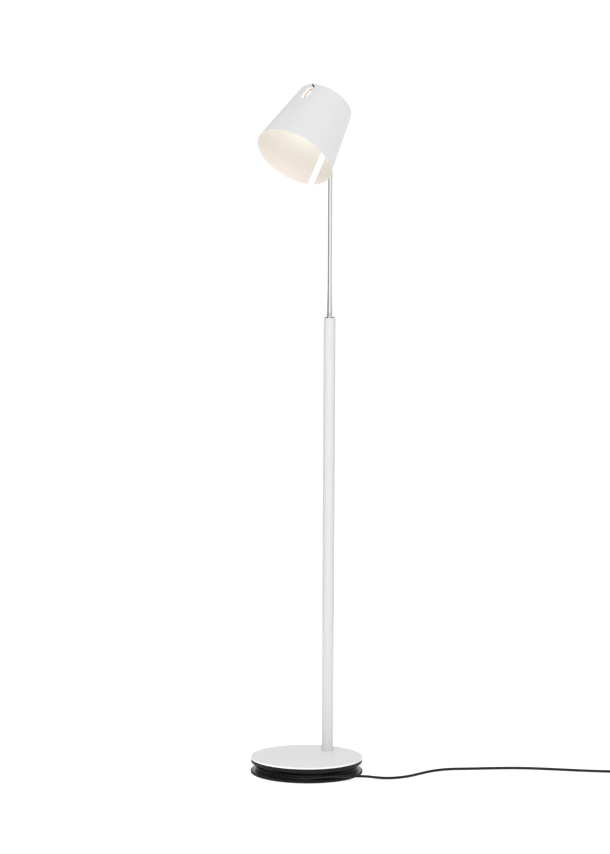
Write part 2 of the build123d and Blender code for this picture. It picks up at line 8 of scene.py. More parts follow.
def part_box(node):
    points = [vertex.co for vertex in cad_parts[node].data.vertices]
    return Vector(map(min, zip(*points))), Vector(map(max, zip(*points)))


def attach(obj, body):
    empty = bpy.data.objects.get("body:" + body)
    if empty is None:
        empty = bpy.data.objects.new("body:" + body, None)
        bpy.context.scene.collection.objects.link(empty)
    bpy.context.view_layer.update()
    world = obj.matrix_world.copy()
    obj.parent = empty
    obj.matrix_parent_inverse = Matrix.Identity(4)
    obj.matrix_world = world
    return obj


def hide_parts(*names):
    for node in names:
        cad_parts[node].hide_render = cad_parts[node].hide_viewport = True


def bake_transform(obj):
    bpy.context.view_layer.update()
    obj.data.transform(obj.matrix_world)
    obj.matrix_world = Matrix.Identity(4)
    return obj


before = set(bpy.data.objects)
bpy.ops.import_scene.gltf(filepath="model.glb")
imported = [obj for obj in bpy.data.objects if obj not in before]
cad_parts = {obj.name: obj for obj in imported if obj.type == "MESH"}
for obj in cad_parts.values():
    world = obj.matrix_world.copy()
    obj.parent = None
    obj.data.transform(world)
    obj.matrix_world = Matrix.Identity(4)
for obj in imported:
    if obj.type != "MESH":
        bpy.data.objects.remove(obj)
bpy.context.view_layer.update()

MM = 0.001
SAME_PLACE = 0.002 * MM       # vertices closer than this are one
TILT = radians(46.0)          # the shade's rest tilt from straight down
UP = Vector((0, 0, 1))

# Directions of the head: towards the shade's mouth, back and front, and along its pivot.
MOUTHWARD = Vector((0, -sin(TILT), -cos(TILT)))
BACKWARD = Vector((0, cos(TILT), -sin(TILT)))
FRONTWARD = -BACKWARD
SIDEWAYS = Vector((1, 0, 0))

cap_low, cap_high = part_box("shade_cap")
PLATE_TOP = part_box("top_plate")[1].z

# Shade sizes that the materials and the added pieces share.
NARROW_RADIUS = 58.2 * MM
MOUTH_RADIUS = 82.3 * MM
SHADE_LENGTH = 147.3 * MM
SHADE_WALL = 1.5 * MM
CAP_DEPTH = 2.5 * MM
SLOPE = (MOUTH_RADIUS - NARROW_RADIUS) / SHADE_LENGTH
narrow_centre = (cap_low + cap_high) / 2 - MOUTHWARD * (CAP_DEPTH + 1.0 * MM)
narrow_centre.x = 0


# ---------------------------------------------------------------- camera

VIEW_AZIMUTH = radians(36.55)
VIEW_RIGHT = Vector((cos(VIEW_AZIMUTH), sin(VIEW_AZIMUTH), 0))
VIEW_BACK = Vector((sin(VIEW_AZIMUTH), -cos(VIEW_AZIMUTH), 0))


def set_camera():
    """A long lens that looks a little down on the lamp, from the front right of its own axes."""
    elevation, roll = radians(7.86), radians(-0.26)
    distance, aim_height, aim_aside = 9.152, 0.718, -0.0065
    right = VIEW_RIGHT
    back = VIEW_BACK * cos(elevation) + UP * sin(elevation)
    up = back.cross(right)
    rolled_right = right * cos(roll) - up * sin(roll)
    rolled_up = right * sin(roll) + up * cos(roll)
    data = bpy.data.cameras.new("camera")
    data.sensor_fit = "VERTICAL"
    data.sensor_height = 36.0
    data.lens = 188.9
    data.clip_end = 300.0
    camera = bpy.data.objects.new("camera", data)
    place = right * aim_aside + UP * aim_height + back * distance
    turn = Matrix((rolled_right, rolled_up, back)).transposed().to_4x4()
    camera.matrix_world = Matrix.Translation(place) @ turn
    bpy.context.scene.collection.objects.link(camera)
    bpy.context.scene.camera = camera


set_camera()


# ---------------------------------------------------------------- making pieces

def thing_from(bm, name, material):
    """An object from a bmesh, in the scene and with its material."""
    mesh = bpy.data.meshes.new(name)
    bm.to_mesh(mesh)
    bm.free()
    mesh.materials.append(material)
    thing = bpy.data.objects.new(name, mesh)
    bpy.context.scene.collection.objects.link(thing)
    return thing


def piece_from(bm, name, material, sharp_angle=35.0):
    """A piece of the base from a bmesh: outward faces, and smooth shading with sharp edges kept."""
    bmesh.ops.remove_doubles(bm, verts=bm.verts, dist=SAME_PLACE)
    bmesh.ops.recalc_face_normals(bm, faces=bm.faces)
    piece = thing_from(bm, name, material)
    piece.data.shade_smooth()
    piece.data.set_sharp_from_angle(angle=radians(sharp_angle))
    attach(piece, "stand")
    return piece


def placed(bm, verts, origin, along, aside):
    """Moves vertices made about the world's origin so that their Z lies along a direction at a point."""
    along = along.normalized()
    x_dir = (aside - along * aside.dot(along)).normalized()
    y_dir = along.cross(x_dir)
    turn = Matrix((x_dir, y_dir, along)).transposed().to_4x4()
    bmesh.ops.transform(bm, matrix=Matrix.Translation(origin) @ turn, verts=verts)


def turned(bm, outline, steps):
    """Spins an outline of (radius, height) about Z, closed where it meets the axis."""
    verts = [bm.verts.new((radius, 0, height)) for radius, height in outline]
    edges = [bm.edges.new(pair) for pair in zip(verts, verts[1:])]
    bmesh.ops.spin(
        bm, geom=verts + edges, cent=(0, 0, 0), axis=(0, 0, 1), angle=2 * pi, steps=steps, use_merge=True
    )
    bmesh.ops.remove_doubles(bm, verts=bm.verts, dist=SAME_PLACE)


def round_wire(name, routes, radius, sides, steps):
    """A round wire along smooth lines, as curve data: one open spline for each route."""
    data = bpy.data.curves.new(name, "CURVE")
    data.dimensions = "3D"
    for route in routes:
        spline = data.splines.new("NURBS")
        spline.points.add(len(route) - 1)
        for target, point in zip(spline.points, route):
            target.co = (*point, 1.0)
        spline.order_u = 3
        spline.use_endpoint_u = True
        spline.resolution_u = steps
    data.bevel_depth = radius
    data.bevel_resolution = sides
    data.use_fill_caps = radius > 0
    return data


# ---------------------------------------------------------------- finishes

class Finish:
    """A node material under way: its shader, its links, and the pattern space of the piece."""

    def __init__(self, name):
        self.material = bpy.data.materials.new(name)
        self.material.use_nodes = True
        self.tree = self.material.node_tree
        self.shader = self.tree.nodes["Principled BSDF"]
        self.space = self.tree.nodes.new("ShaderNodeTexCoord").outputs["Object"]

    def node(self, kind, inputs=(), **settings):
        made = self.tree.nodes.new(kind)
        for key, value in settings.items():
            setattr(made, key, value)
        for key, value in dict(inputs).items():
            if isinstance(value, bpy.types.NodeSocket):
                self.tree.links.new(value, made.inputs[key])
            else:
                made.inputs[key].default_value = value
        return made

    def noise(self, scale, detail=2.0, stretch=None):
        """Noise at so many features to a metre, stretched along an axis if asked."""
        space = self.space
        if stretch is not None:
            space = self.node("ShaderNodeMapping", {"Vector": space, "Scale": stretch}).outputs["Vector"]
        settings = {"Vector": space, "Scale": scale, "Detail": detail}
        return self.node("ShaderNodeTexNoise", settings).outputs["Fac"]

    def spread(self, value, low, high):
        """A 0 to 1 value taken to a range."""
        made = self.node("ShaderNodeMapRange", {"Value": value, "To Min": low, "To Max": high})
        return made.outputs["Result"]

    def blend(self, amount, first, second):
        mix = self.node("ShaderNodeMix", data_type="RGBA")
        for key, value in ((0, amount), (6, first), (7, second)):
            if isinstance(value, bpy.types.NodeSocket):
                self.tree.links.new(value, mix.inputs[key])
            else:
                mix.inputs[key].default_value = value
        return mix.outputs[2]

    def feed(self, socket, value):
        if isinstance(value, bpy.types.NodeSocket):
            self.tree.links.new(value, self.shader.inputs[socket])
        else:
            self.shader.inputs[socket].default_value = value

    def relief(self, height, depth, strength=1.0):
        bump = self.node("ShaderNodeBump", {"Height": height, "Distance": depth, "Strength": strength})
        self.tree.links.new(bump.outputs["Normal"], self.shader.inputs["Normal"])


def rgb(red, green, blue):
    return (red, green, blue, 1.0)


def grey(tone):
    return rgb(tone, tone, tone)


def scaled(colour, share):
    """A colour made darker or lighter by a share."""
    return rgb(*(part * share for part in colour[:3]))


def powder_coat(name, light, dark, roughness):
    """Baked powder paint: a fine orange peel with a faint unevenness of tone."""
    coat = Finish(name)
    coat.feed("Base Color", coat.blend(coat.noise(14.0, 3.0), dark, light))
    coat.feed("Roughness", coat.spread(coat.noise(220.0, 3.0), *roughness))
    coat.relief(coat.noise(1500.0, 2.0), 0.00004, 0.35)
    coat.feed("Specular IOR Level", 0.45)
    return coat.material


def head_space(finish):
    """How deep a point lies in the shade, and how far out from the shade's axis."""
    to_head = Matrix((SIDEWAYS, FRONTWARD, MOUTHWARD))
    shift = -(to_head @ narrow_centre)
    head = finish.node(
        "ShaderNodeMapping", {"Vector": finish.space, "Location": shift, "Rotation": (TILT - pi, 0, 0)}
    )
    axes = finish.node("ShaderNodeSeparateXYZ", {"Vector": head.outputs["Vector"]}).outputs
    flat = finish.node("ShaderNodeCombineXYZ", {"X": axes["X"], "Y": axes["Y"]}).outputs["Vector"]
    radius = finish.node("ShaderNodeVectorMath", {0: flat}, operation="LENGTH").outputs["Value"]
    return axes["Z"], radius


def painted_inside_light(finish, depth):
    """Painted light on the inside: a clean white round the light that turns to a darker, warmer painted
    shade near the mouth.
    """
    # The fade from near the light to the mouth is painted falloff of light.
    towards_mouth = finish.node(
        "ShaderNodeMapRange", {"Value": depth, "From Min": 60.0 * MM, "From Max": 140.0 * MM}
    ).outputs["Result"]
    return finish.blend(towards_mouth, rgb(0.88, 0.87, 0.835), rgb(0.74, 0.68, 0.625))


def shade_coat_and_painted_light(finish, inside, depth):
    """A cool white outside; inside, painted light and painted shade, and a painted glow beside and behind
    the diffuser that stands in for its spill of light.
    """
    outer = finish.blend(finish.noise(16.0, 3.0), SHADE_TONE, scaled(SHADE_TONE, 1.03))
    finish.feed("Base Color", finish.blend(inside, outer, painted_inside_light(finish, depth)))
    # Painted light: the inner paint glows near the diffuser, in place of the light it spills onto the wall.
    painted_spill = finish.node(
        "ShaderNodeMapRange",
        {"Value": depth, "From Min": 28 * MM, "From Max": 62 * MM, "To Min": PAINTED_SPILL_GLOW, "To Max": 0.0},
        interpolation_type="SMOOTHSTEP",
    ).outputs["Result"]
    amount = finish.node("ShaderNodeMath", {0: painted_spill, 1: inside}, operation="MULTIPLY")
    finish.feed("Emission Strength", amount.outputs["Value"])
    finish.feed("Emission Color", rgb(1.0, 0.97, 0.92))
    finish.feed("Roughness", finish.spread(finish.noise(160.0, 3.0), 0.32, 0.36))
    finish.relief(finish.noise(1100.0, 1.0), 0.00001, 0.2)
    return finish.material


def shade_paint():
    """The shade's paint outside and painted light inside; the colour turns at the middle of its wall."""
    coat = Finish("shade_paint")
    depth, radius = head_space(coat)
    middle = coat.node(
        "ShaderNodeMath", {0: depth, 1: SLOPE, 2: NARROW_RADIUS - SHADE_WALL / 2}, operation="MULTIPLY_ADD"
    ).outputs["Value"]
    inside = coat.node("ShaderNodeMath", {0: radius, 1: middle}, operation="LESS_THAN").outputs["Value"]
    return shade_coat_and_painted_light(coat, inside, depth)


def cap_paint_and_light():
    """The cap's paint, with the shade's painted light and painted glow on its inner face; it turns at the
    middle of its thickness.
    """
    coat = Finish("cap_paint_and_light")
    depth = head_space(coat)[0]
    inside = coat.node("ShaderNodeMath", {0: depth, 1: CAP_MIDDLE}, operation="GREATER_THAN")
    return shade_coat_and_painted_light(coat, inside.outputs["Value"], depth)


def plate_paint_and_highlight():
    """The base plate's paint, with a painted highlight: the turned edge is coloured brighter than the top.
    """
    coat = Finish("plate_paint_and_highlight")
    height = coat.node("ShaderNodeSeparateXYZ", {"Vector": coat.space}).outputs["Z"]
    on_top = coat.node("ShaderNodeMath", {0: height, 1: PLATE_TOP - 0.2 * MM}, operation="GREATER_THAN")
    face = coat.blend(coat.noise(12.0, 3.0), PLATE_TONE, scaled(PLATE_TONE, 1.025))
    # The near-white on the turned edge is a painted highlight.
    coat.feed("Base Color", coat.blend(on_top.outputs["Value"], grey(0.95), face))
    coat.feed("Roughness", coat.spread(coat.noise(160.0, 3.0), 0.2, 0.25))
    coat.relief(coat.noise(1400.0, 2.0), 0.00001, 0.25)
    return coat.material


def metal(name, tone, roughness, grain=(1.0, 1.0, 0.02), grain_scale=900.0):
    """Bright metal with fine tool lines that run one way."""
    plate = Finish(name)
    lines = plate.noise(grain_scale, 3.0, stretch=grain)
    plate.feed("Base Color", plate.blend(plate.noise(30.0, 2.0), tone, scaled(tone, 0.93)))
    plate.feed("Roughness", plate.spread(lines, *roughness))
    plate.feed("Metallic", 1.0)
    plate.relief(lines, 0.00001, 0.3)
    return plate.material


def cast_metal(name, light, dark, metallic=0.6):
    """A rough cast skin."""
    cast = Finish(name)
    cast.feed("Base Color", cast.blend(cast.noise(120.0, 4.0), dark, light))
    cast.feed("Roughness", cast.spread(cast.noise(400.0, 3.0), 0.5, 0.75))
    cast.feed("Metallic", metallic)
    cast.relief(cast.noise(700.0, 4.0), 0.0002, 0.6)
    return cast.material


def moulded(name, light, dark, roughness=(0.38, 0.52), texture=1800.0, depth=0.00003, gloss=0.5):
    """Moulded plastic with a fine spark-eroded skin."""
    plastic = Finish(name)
    plastic.feed("Base Color", plastic.blend(plastic.noise(60.0, 3.0), dark, light))
    plastic.feed("Roughness", plastic.spread(plastic.noise(500.0, 3.0), *roughness))
    plastic.relief(plastic.noise(texture, 2.0), depth, 0.5)
    plastic.feed("Specular IOR Level", gloss)
    return plastic.material


def glowing(name, base, glow, strength):
    """A lit surface: its glow is uneven by a little, as behind a moulded diffuser."""
    lamp = Finish(name)
    lamp.feed("Base Color", base)
    lamp.feed("Emission Color", lamp.blend(lamp.noise(90.0, 2.0), scaled(glow, 0.9), glow))
    lamp.feed("Emission Strength", strength)
    lamp.feed("Roughness", lamp.spread(lamp.noise(600.0, 2.0), 0.3, 0.4))
    return lamp.material


SHADE_TONE = rgb(0.62, 0.62, 0.622)
PLATE_TONE = grey(0.815)
# How strongly the inner paint glows as painted light near the diffuser.
PAINTED_SPILL_GLOW = 0.32
CAP_MIDDLE = 3.5 * MM

WHITE_PAINT = powder_coat("white_paint", grey(0.635), rgb(0.615, 0.615, 0.617), (0.2, 0.26))
PLATE_PAINT_AND_HIGHLIGHT = plate_paint_and_highlight()
SHADE_PAINT_AND_LIGHT = shade_paint()
CAP_PAINT_AND_LIGHT = cap_paint_and_light()
SATIN_ROD = metal("satin_rod", grey(0.88), (0.12, 0.2))
TURNED_METAL = metal("turned_metal", grey(0.74), (0.22, 0.34), grain=(0.05, 0.05, 1.0))
ZINC = metal("zinc", rgb(0.62, 0.63, 0.64), (0.3, 0.45), grain=(1.0, 1.0, 1.0), grain_scale=500.0)
NICKEL = metal("nickel", rgb(0.74, 0.71, 0.66), (0.14, 0.24), grain_scale=600.0)
PLATED_STEEL = metal(
    "plated_steel", rgb(0.42, 0.42, 0.43), (0.32, 0.5), grain=(0.1, 1.0, 1.0), grain_scale=700.0
)
IRON = cast_metal("cast_iron", grey(0.10), grey(0.05))
SINK_METAL = cast_metal("sink_metal", rgb(0.78, 0.78, 0.77), rgb(0.7, 0.7, 0.69), metallic=0.4)
MATT_BLACK = (rgb(0.010, 0.010, 0.011), rgb(0.006, 0.006, 0.007))
BLACK_PLASTIC = moulded("black_plastic", *MATT_BLACK, gloss=0.16)
BUSH_BLACK = moulded("bush_black", *MATT_BLACK, (0.7, 0.85), gloss=0.12)
PLUG_BLACK = moulded("plug_black", rgb(0.02, 0.02, 0.021), rgb(0.012, 0.012, 0.013), (0.34, 0.46))
WHITE_PLASTIC = moulded("white_plastic", rgb(0.82, 0.82, 0.80), rgb(0.78, 0.78, 0.76))
NYLON = moulded("nylon", rgb(0.80, 0.79, 0.74), rgb(0.74, 0.73, 0.68), (0.3, 0.42))
RUBBER = moulded(
    "rubber", rgb(0.012, 0.012, 0.013), rgb(0.006, 0.006, 0.007), (0.6, 0.78), 900.0, 0.00006, 0.2
)
CORD_SKIN = moulded(
    "cord_skin", rgb(0.007, 0.007, 0.008), rgb(0.004, 0.004, 0.005), (0.3, 0.42), 1100.0, 0.00004, 0.22
)
# The leads are real; their tan is partly painted shade for the front slot.
TAN_LEAD_AND_SLOT_SHADE = moulded("tan_lead_and_slot_shade", rgb(0.60, 0.45, 0.34), rgb(0.54, 0.40, 0.30), (0.5, 0.6))
STRAP_WEAVE = moulded("strap_weave", grey(0.03), grey(0.01), (0.8, 0.95), 1400.0, 0.0002)
BOARD_WHITE = moulded("board_white", rgb(0.86, 0.86, 0.84), rgb(0.82, 0.82, 0.80), (0.18, 0.28))
OPAL = glowing("opal", rgb(0.92, 0.89, 0.83), rgb(1.0, 0.95, 0.87), 4.0)
PHOSPHOR = glowing("phosphor", rgb(0.9, 0.7, 0.2), rgb(1.0, 0.8, 0.5), 4.0)

FINISHES = {
    WHITE_PAINT: ["pole_tube"],
    CAP_PAINT_AND_LIGHT: ["shade_cap"],
    PLATE_PAINT_AND_HIGHLIGHT: ["top_plate"],
    SHADE_PAINT_AND_LIGHT: ["shade"],
    SATIN_ROD: ["inner_rod", "rod_collar"],
    TURNED_METAL: [
        "rod_knuckle", "pivot_screw", "pivot_nut", "head_bracket", "bracket_screws", "heat_sink_screws",
    ],
    ZINC: ["base_screws", "pole_nipple", "nipple_nut", "nipple_washer", "pole_foot_plug", "rod_stop_rings"],
    PLATED_STEEL: ["lower_plate"],
    IRON: ["base_weight"],
    SINK_METAL: ["heat_sink"],
    BLACK_PLASTIC: ["cord_spool", "switch_pin"],
    BUSH_BLACK: ["pole_top_bush"],
    WHITE_PLASTIC: ["driver_case", "lens_ring", "switch_block"],
    NYLON: ["rod_guide", "friction_washers"],
    RUBBER: ["foot_rim", "cord_grommet", "guide_friction_ring"],
    CORD_SKIN: ["base_lead", "driver_lead", "pole_coil_lead", "rod_lead"],
    BOARD_WHITE: ["led_board"],
    OPAL: ["diffuser"],
    PHOSPHOR: ["led_emitter"],
}
for material, names in FINISHES.items():
    for name in names:
        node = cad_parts[name]
        node.data.materials.clear()
        node.data.materials.append(material)


# ---------------------------------------------------------------- cord

CORD_RADIUS = 2.8 * MM
TURN_RADIUS = 103.0 * MM
TURNS = 3
FIRST_TURN_HEIGHT = 18.3 * MM
TURN_PITCH = 5.7 * MM
EXIT_ANGLE = radians(-66.0)
LEAVE_ANGLE = radians(-50.0)
COIL_RADIUS = 32.0 * MM
POINTS_PER_TURN = 24

LEAD_ROUTE = [
    (0.0662, -0.0789, 0.0072),
    (0.0938, -0.0558, 0.0105),
    (0.1137, -0.0384, 0.0118),
    (0.1330, -0.0150, 0.0106),
    (0.1465, 0.0080, 0.0082),
    (0.1595, 0.0260, 0.0044),
    (0.1760, 0.0400, 0.0028),
    (0.1910, 0.0585, 0.0028),
    (0.2005, 0.0850, 0.0028),
    (0.2035, 0.1170, 0.0028),
    (0.2075, 0.1560, 0.0028),
    (0.2255, 0.1920, 0.0028),
    (0.2570, 0.2185, 0.0028),
    (0.2920, 0.2525, 0.0028),
    (0.3310, 0.2860, 0.0028),
    (0.3760, 0.3115, 0.0028),
    (0.4240, 0.3335, 0.0028),
    (0.4700, 0.3560, 0.0028),
    (0.5120, 0.3790, 0.0032),
    (0.5520, 0.3995, 0.0037),
]


def eased(value, start, end):
    """0 before start, 1 after end, and smooth between them."""
    part = min(1.0, max(0.0, (value - start) / (end - start)))
    return part * part * (3 - 2 * part)


def winding_points():
    """Three turns in the groove, from the grommet under the rim down to the lower plate."""
    sweep = TURNS * 2 * pi + LEAVE_ANGLE - EXIT_ANGLE
    count = TURNS * POINTS_PER_TURN
    points = []
    for index in range(count):
        turns = sweep * index / count / (2 * pi)
        angle = EXIT_ANGLE + turns * 2 * pi
        height = FIRST_TURN_HEIGHT - TURN_PITCH * (eased(turns, 0.88, 1.0) + eased(turns, 1.9, 2.02))
        height += 0.25 * MM * sin(3 * angle + 2 * turns)
        wander = 0.5 * MM * sin(2.3 * angle + 1.1 * turns)
        radius = TURN_RADIUS + 0.3 * MM + wander - 4.0 * MM * (1 - eased(turns, 0, 0.06))
        points.append(Vector((radius * cos(angle), radius * sin(angle), height)))
    return points


arrival = Vector(LEAD_ROUTE[-1]) - Vector(LEAD_ROUTE[-2])
HEADING = Vector((arrival.x, arrival.y, 0)).normalized()
LEFTWARD = Vector((-HEADING.y, HEADING.x, 0))
COIL_CENTRE = Vector(LEAD_ROUTE[-1]) - LEFTWARD * (COIL_RADIUS + CORD_RADIUS)
STRAP_WALL = 0.8 * MM
STRAP_GAP = 0.1 * MM
LOW_TURN = CORD_RADIUS + STRAP_WALL + STRAP_GAP
TOP_TURN = LOW_TURN + 2 * CORD_RADIUS * sin(radians(60))


def coil_points():
    """The put-away length: an outer and an inner turn on the floor, and one turn on them."""
    points = []
    count = TURNS * POINTS_PER_TURN
    for index in range(1, count):
        turns = TURNS * index / count
        inward = eased(turns, 0.88, 1.0)
        upward = eased(turns, 1.85, 2.0)
        radius = COIL_RADIUS + CORD_RADIUS * (1 - 2 * inward + upward)
        height = LOW_TURN + (TOP_TURN - LOW_TURN) * upward
        angle = -turns * 2 * pi
        spot = COIL_CENTRE + (LEFTWARD * cos(angle) - HEADING * sin(angle)) * radius
        points.append(Vector((spot.x, spot.y, height)))
    return points


def beside(origin, ahead, aside, height):
    """A place so many millimetres on from a point and to its left, at a height."""
    spot = origin + HEADING * ahead * MM + LEFTWARD * aside * MM
    return Vector((spot.x, spot.y, height))


PLUG_HEIGHT = 6.85 * MM
leave = COIL_CENTRE + LEFTWARD * COIL_RADIUS
TAIL_ROUTE = [
    beside(leave, 2, 0, TOP_TURN + 0.4 * MM),
    beside(leave, 26, 0.5, TOP_TURN + 0.4 * MM),
    beside(leave, 48, -3, PLUG_HEIGHT + 0.4 * MM),
    beside(leave, 68, -9, PLUG_HEIGHT),
]


def cord_curve(name, radius):
    """The whole mains cord as one smooth line: wound turns, free lead, put-away coil, tail."""
    route = winding_points() + [Vector(p) for p in LEAD_ROUTE] + coil_points() + TAIL_ROUTE
    curve = bpy.data.objects.new(name, round_wire(name, [route], radius, sides=4, steps=6))
    bpy.context.scene.collection.objects.link(curve)
    return curve


def first_stretch(length):
    """The cord's own centre line from its exit on, for as far as a length."""
    bare = cord_curve("bare_line", 0.0)
    mesh = bpy.data.meshes.new_from_object(bare)
    line = [v.co.copy() for v in mesh.vertices]
    bpy.data.meshes.remove(mesh)
    bpy.data.objects.remove(bare)
    kept = [line[0]]
    gone = 0.0
    for before, after in zip(line, line[1:]):
        gone += (after - before).length
        if gone > length:
            break
        kept.append(after)
    return kept


def make_strain_relief():
    """A tapered sleeve that holds the cord where it comes out of the reel's hub."""
    bm = bmesh.new()
    line = first_stretch(24 * MM)
    last = len(line) - 1
    loops = []
    for index, spot in enumerate(line):
        along = (line[min(index + 1, last)] - line[max(index - 1, 0)]).normalized()
        taper = 1 - index / last
        rib = 0.18 * MM * (index % 2)
        tall = CORD_RADIUS + 0.12 * MM
        wide = tall + 0.7 * MM * taper - rib
        made = bmesh.ops.create_circle(bm, segments=28, radius=1.0)["verts"]
        bmesh.ops.scale(bm, verts=made, vec=(wide, tall, 1.0))
        placed(bm, made, spot, along, aside=UP.cross(along))
        loops.append(made)
    for before, after in zip(loops, loops[1:]):
        edges = {e for v in before + after for e in v.link_edges if len(e.link_faces) < 2}
        ring_edges = [e for e in edges if set(e.verts) <= set(before) or set(e.verts) <= set(after)]
        bmesh.ops.bridge_loops(bm, edges=ring_edges)
    bmesh.ops.holes_fill(bm, edges=[e for e in bm.edges if e.is_boundary])
    sleeve = piece_from(bm, "cord_strain_relief", RUBBER)
    return sleeve


PLUG_START = TAIL_ROUTE[-1]
plug_run = TAIL_ROUTE[-1] - TAIL_ROUTE[-2]
PLUG_DIR = Vector((plug_run.x, plug_run.y, 0)).normalized()
PLUG_ACROSS = Vector((-PLUG_DIR.y, PLUG_DIR.x, 0))
BOOT_LENGTH = 22.0 * MM
PLUG_LENGTH = 36.0 * MM
PLUG_WIDTH = 35.0 * MM
PLUG_DEPTH = 13.5 * MM
PIN_LENGTH = 19.0 * MM
PIN_SPREAD = 9.2 * MM


def bevelled(bm, edges, width, segments):
    """Rounds off edges."""
    bmesh.ops.bevel(
        bm, geom=edges, offset=width, offset_type="OFFSET", segments=segments, profile=0.5, affect="EDGES",
        material=-1, clamp_overlap=True,
    )


def plug_piece(bm, name, material, node):
    """A piece of the plug from a bmesh made along Z, laid on the plug's line in place of a CAD node."""
    placed(bm, bm.verts[:], PLUG_START, PLUG_DIR, PLUG_ACROSS)
    piece = piece_from(bm, name, material)
    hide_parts(node)
    return piece


def make_boot():
    """The plug's tapered strain relief, with a row of flex grooves."""
    outline = [(0.0, -2.0 * MM), (CORD_RADIUS + 0.25 * MM, -2.0 * MM), (CORD_RADIUS + 0.45 * MM, -1.2 * MM)]
    ribs = 6
    pitch = (BOOT_LENGTH - 3.0 * MM) / ribs
    for rib in range(ribs):
        start = rib * pitch
        radius = CORD_RADIUS + 0.6 * MM + 1.7 * MM * start / BOOT_LENGTH
        outline += [
            (radius, start), (radius + 0.12 * MM, start + 0.52 * pitch),
            (radius - 0.5 * MM, start + 0.6 * pitch), (radius - 0.42 * MM, start + 0.9 * pitch),
        ]
    outline += [(5.1 * MM, BOOT_LENGTH - 3.0 * MM), (5.2 * MM, BOOT_LENGTH), (0.0, BOOT_LENGTH)]
    bm = bmesh.new()
    turned(bm, outline, 40)
    return plug_piece(bm, "plug_strain_relief", PLUG_BLACK, "plug_boot")


def make_plug_body():
    """A flat two-pin plug body: shoulders that taper to the boot, grip grooves and sleeved pin roots."""
    bm = bmesh.new()
    made = bmesh.ops.create_cube(bm, size=1.0)["verts"]
    bmesh.ops.scale(bm, verts=made, vec=(PLUG_WIDTH, PLUG_DEPTH, PLUG_LENGTH))
    bmesh.ops.translate(bm, verts=made, vec=(0, 0, BOOT_LENGTH + PLUG_LENGTH / 2))
    shoulder = BOOT_LENGTH + 15.0 * MM

    def cut(place, normal):
        geometry = list(bm.verts) + list(bm.edges) + list(bm.faces)
        bmesh.ops.bisect_plane(bm, geom=geometry, plane_co=place, plane_no=normal, dist=0.000001)

    cut((0, 0, shoulder), (0, 0, 1))
    near_end = [v for v in bm.verts if v.co.z < BOOT_LENGTH + 1.0 * MM]
    bmesh.ops.scale(bm, verts=near_end, vec=(0.4, 0.86, 1.0))

    def rise(edge):
        return abs(edge.verts[0].co.z - edge.verts[1].co.z)

    bevelled(bm, [e for e in bm.edges if rise(e) > 1.0 * MM], 3.6 * MM, 6)
    beyond = shoulder + 1.0 * MM
    rim = [e for e in bm.edges if all(v.co.z > beyond for v in e.verts) and rise(e) < 0.01 * MM]
    bevelled(bm, rim, 1.0 * MM, 4)
    steps = 10
    pitch = 1.5 * MM
    first = shoulder + 2.0 * MM
    half_width = 11.0 * MM
    for step in range(steps + 1):
        cut((0, 0, first + step * pitch), (0, 0, 1))
    for side in (-1, 1):
        cut((side * half_width, 0, 0), (1, 0, 0))
    grooves = []
    for face in bm.faces:
        middle = face.calc_center_median()
        step = (middle.z - first) / pitch
        flat = abs(face.normal.y) > 0.9 and abs(middle.x) < half_width
        if flat and 0 < step < steps and int(step) % 2 == 0:
            grooves.append(face)
    bmesh.ops.inset_individual(bm, faces=grooves, thickness=0.3 * MM, depth=-0.5 * MM)
    for side in (-1, 1):
        root = bmesh.ops.create_cone(
            bm, cap_ends=True, segments=32, radius1=2.0 * MM, radius2=1.95 * MM, depth=10.0 * MM
        )["verts"]
        bmesh.ops.translate(
            bm, verts=root, vec=(side * PIN_SPREAD, 0, BOOT_LENGTH + PLUG_LENGTH + 4.9 * MM)
        )
    return plug_piece(bm, "plug_moulding", PLUG_BLACK, "plug_body")


def make_pins():
    """Two round pins with domed tips."""
    bm = bmesh.new()
    start = BOOT_LENGTH + PLUG_LENGTH
    tip = start + PIN_LENGTH
    radius = 1.88 * MM
    dome = 1.6 * MM
    outline = [(0.0, start), (radius, start)]
    outline += [(radius * cos(a), tip - dome + dome * sin(a)) for a in (0, 0.4, 0.8, 1.2)]
    outline += [(0.0, tip)]
    for side in (-1, 1):
        before = set(bm.verts)
        turned(bm, outline, 32)
        made = [v for v in bm.verts if v not in before]
        bmesh.ops.translate(bm, verts=made, vec=(side * PIN_SPREAD, 0, 0))
    return plug_piece(bm, "plug_contact_pins", NICKEL, "plug_pins")


def hull_outline(spots, radius, steps):
    """The line round three circles of one radius, as a rubber band would lie, from their centres."""
    middle = sum((Vector(spot) for spot in spots), Vector((0, 0))) / len(spots)
    ordered = sorted(spots, key=lambda spot: (Vector(spot) - middle).angle_signed(Vector((1, 0)), 0))
    outline = []
    for index, spot in enumerate(ordered):
        before = Vector(spot) - Vector(ordered[index - 1])
        after = Vector(ordered[(index + 1) % len(ordered)]) - Vector(spot)
        turn = before.angle_signed(after)
        outward = Vector((before.y, -before.x)).normalized()
        for step in range(steps + 1):
            lean = outward.copy()
            lean.rotate(Matrix.Rotation(-turn * step / steps, 2))
            outline.append(Vector(spot) + lean * radius)
    return outline


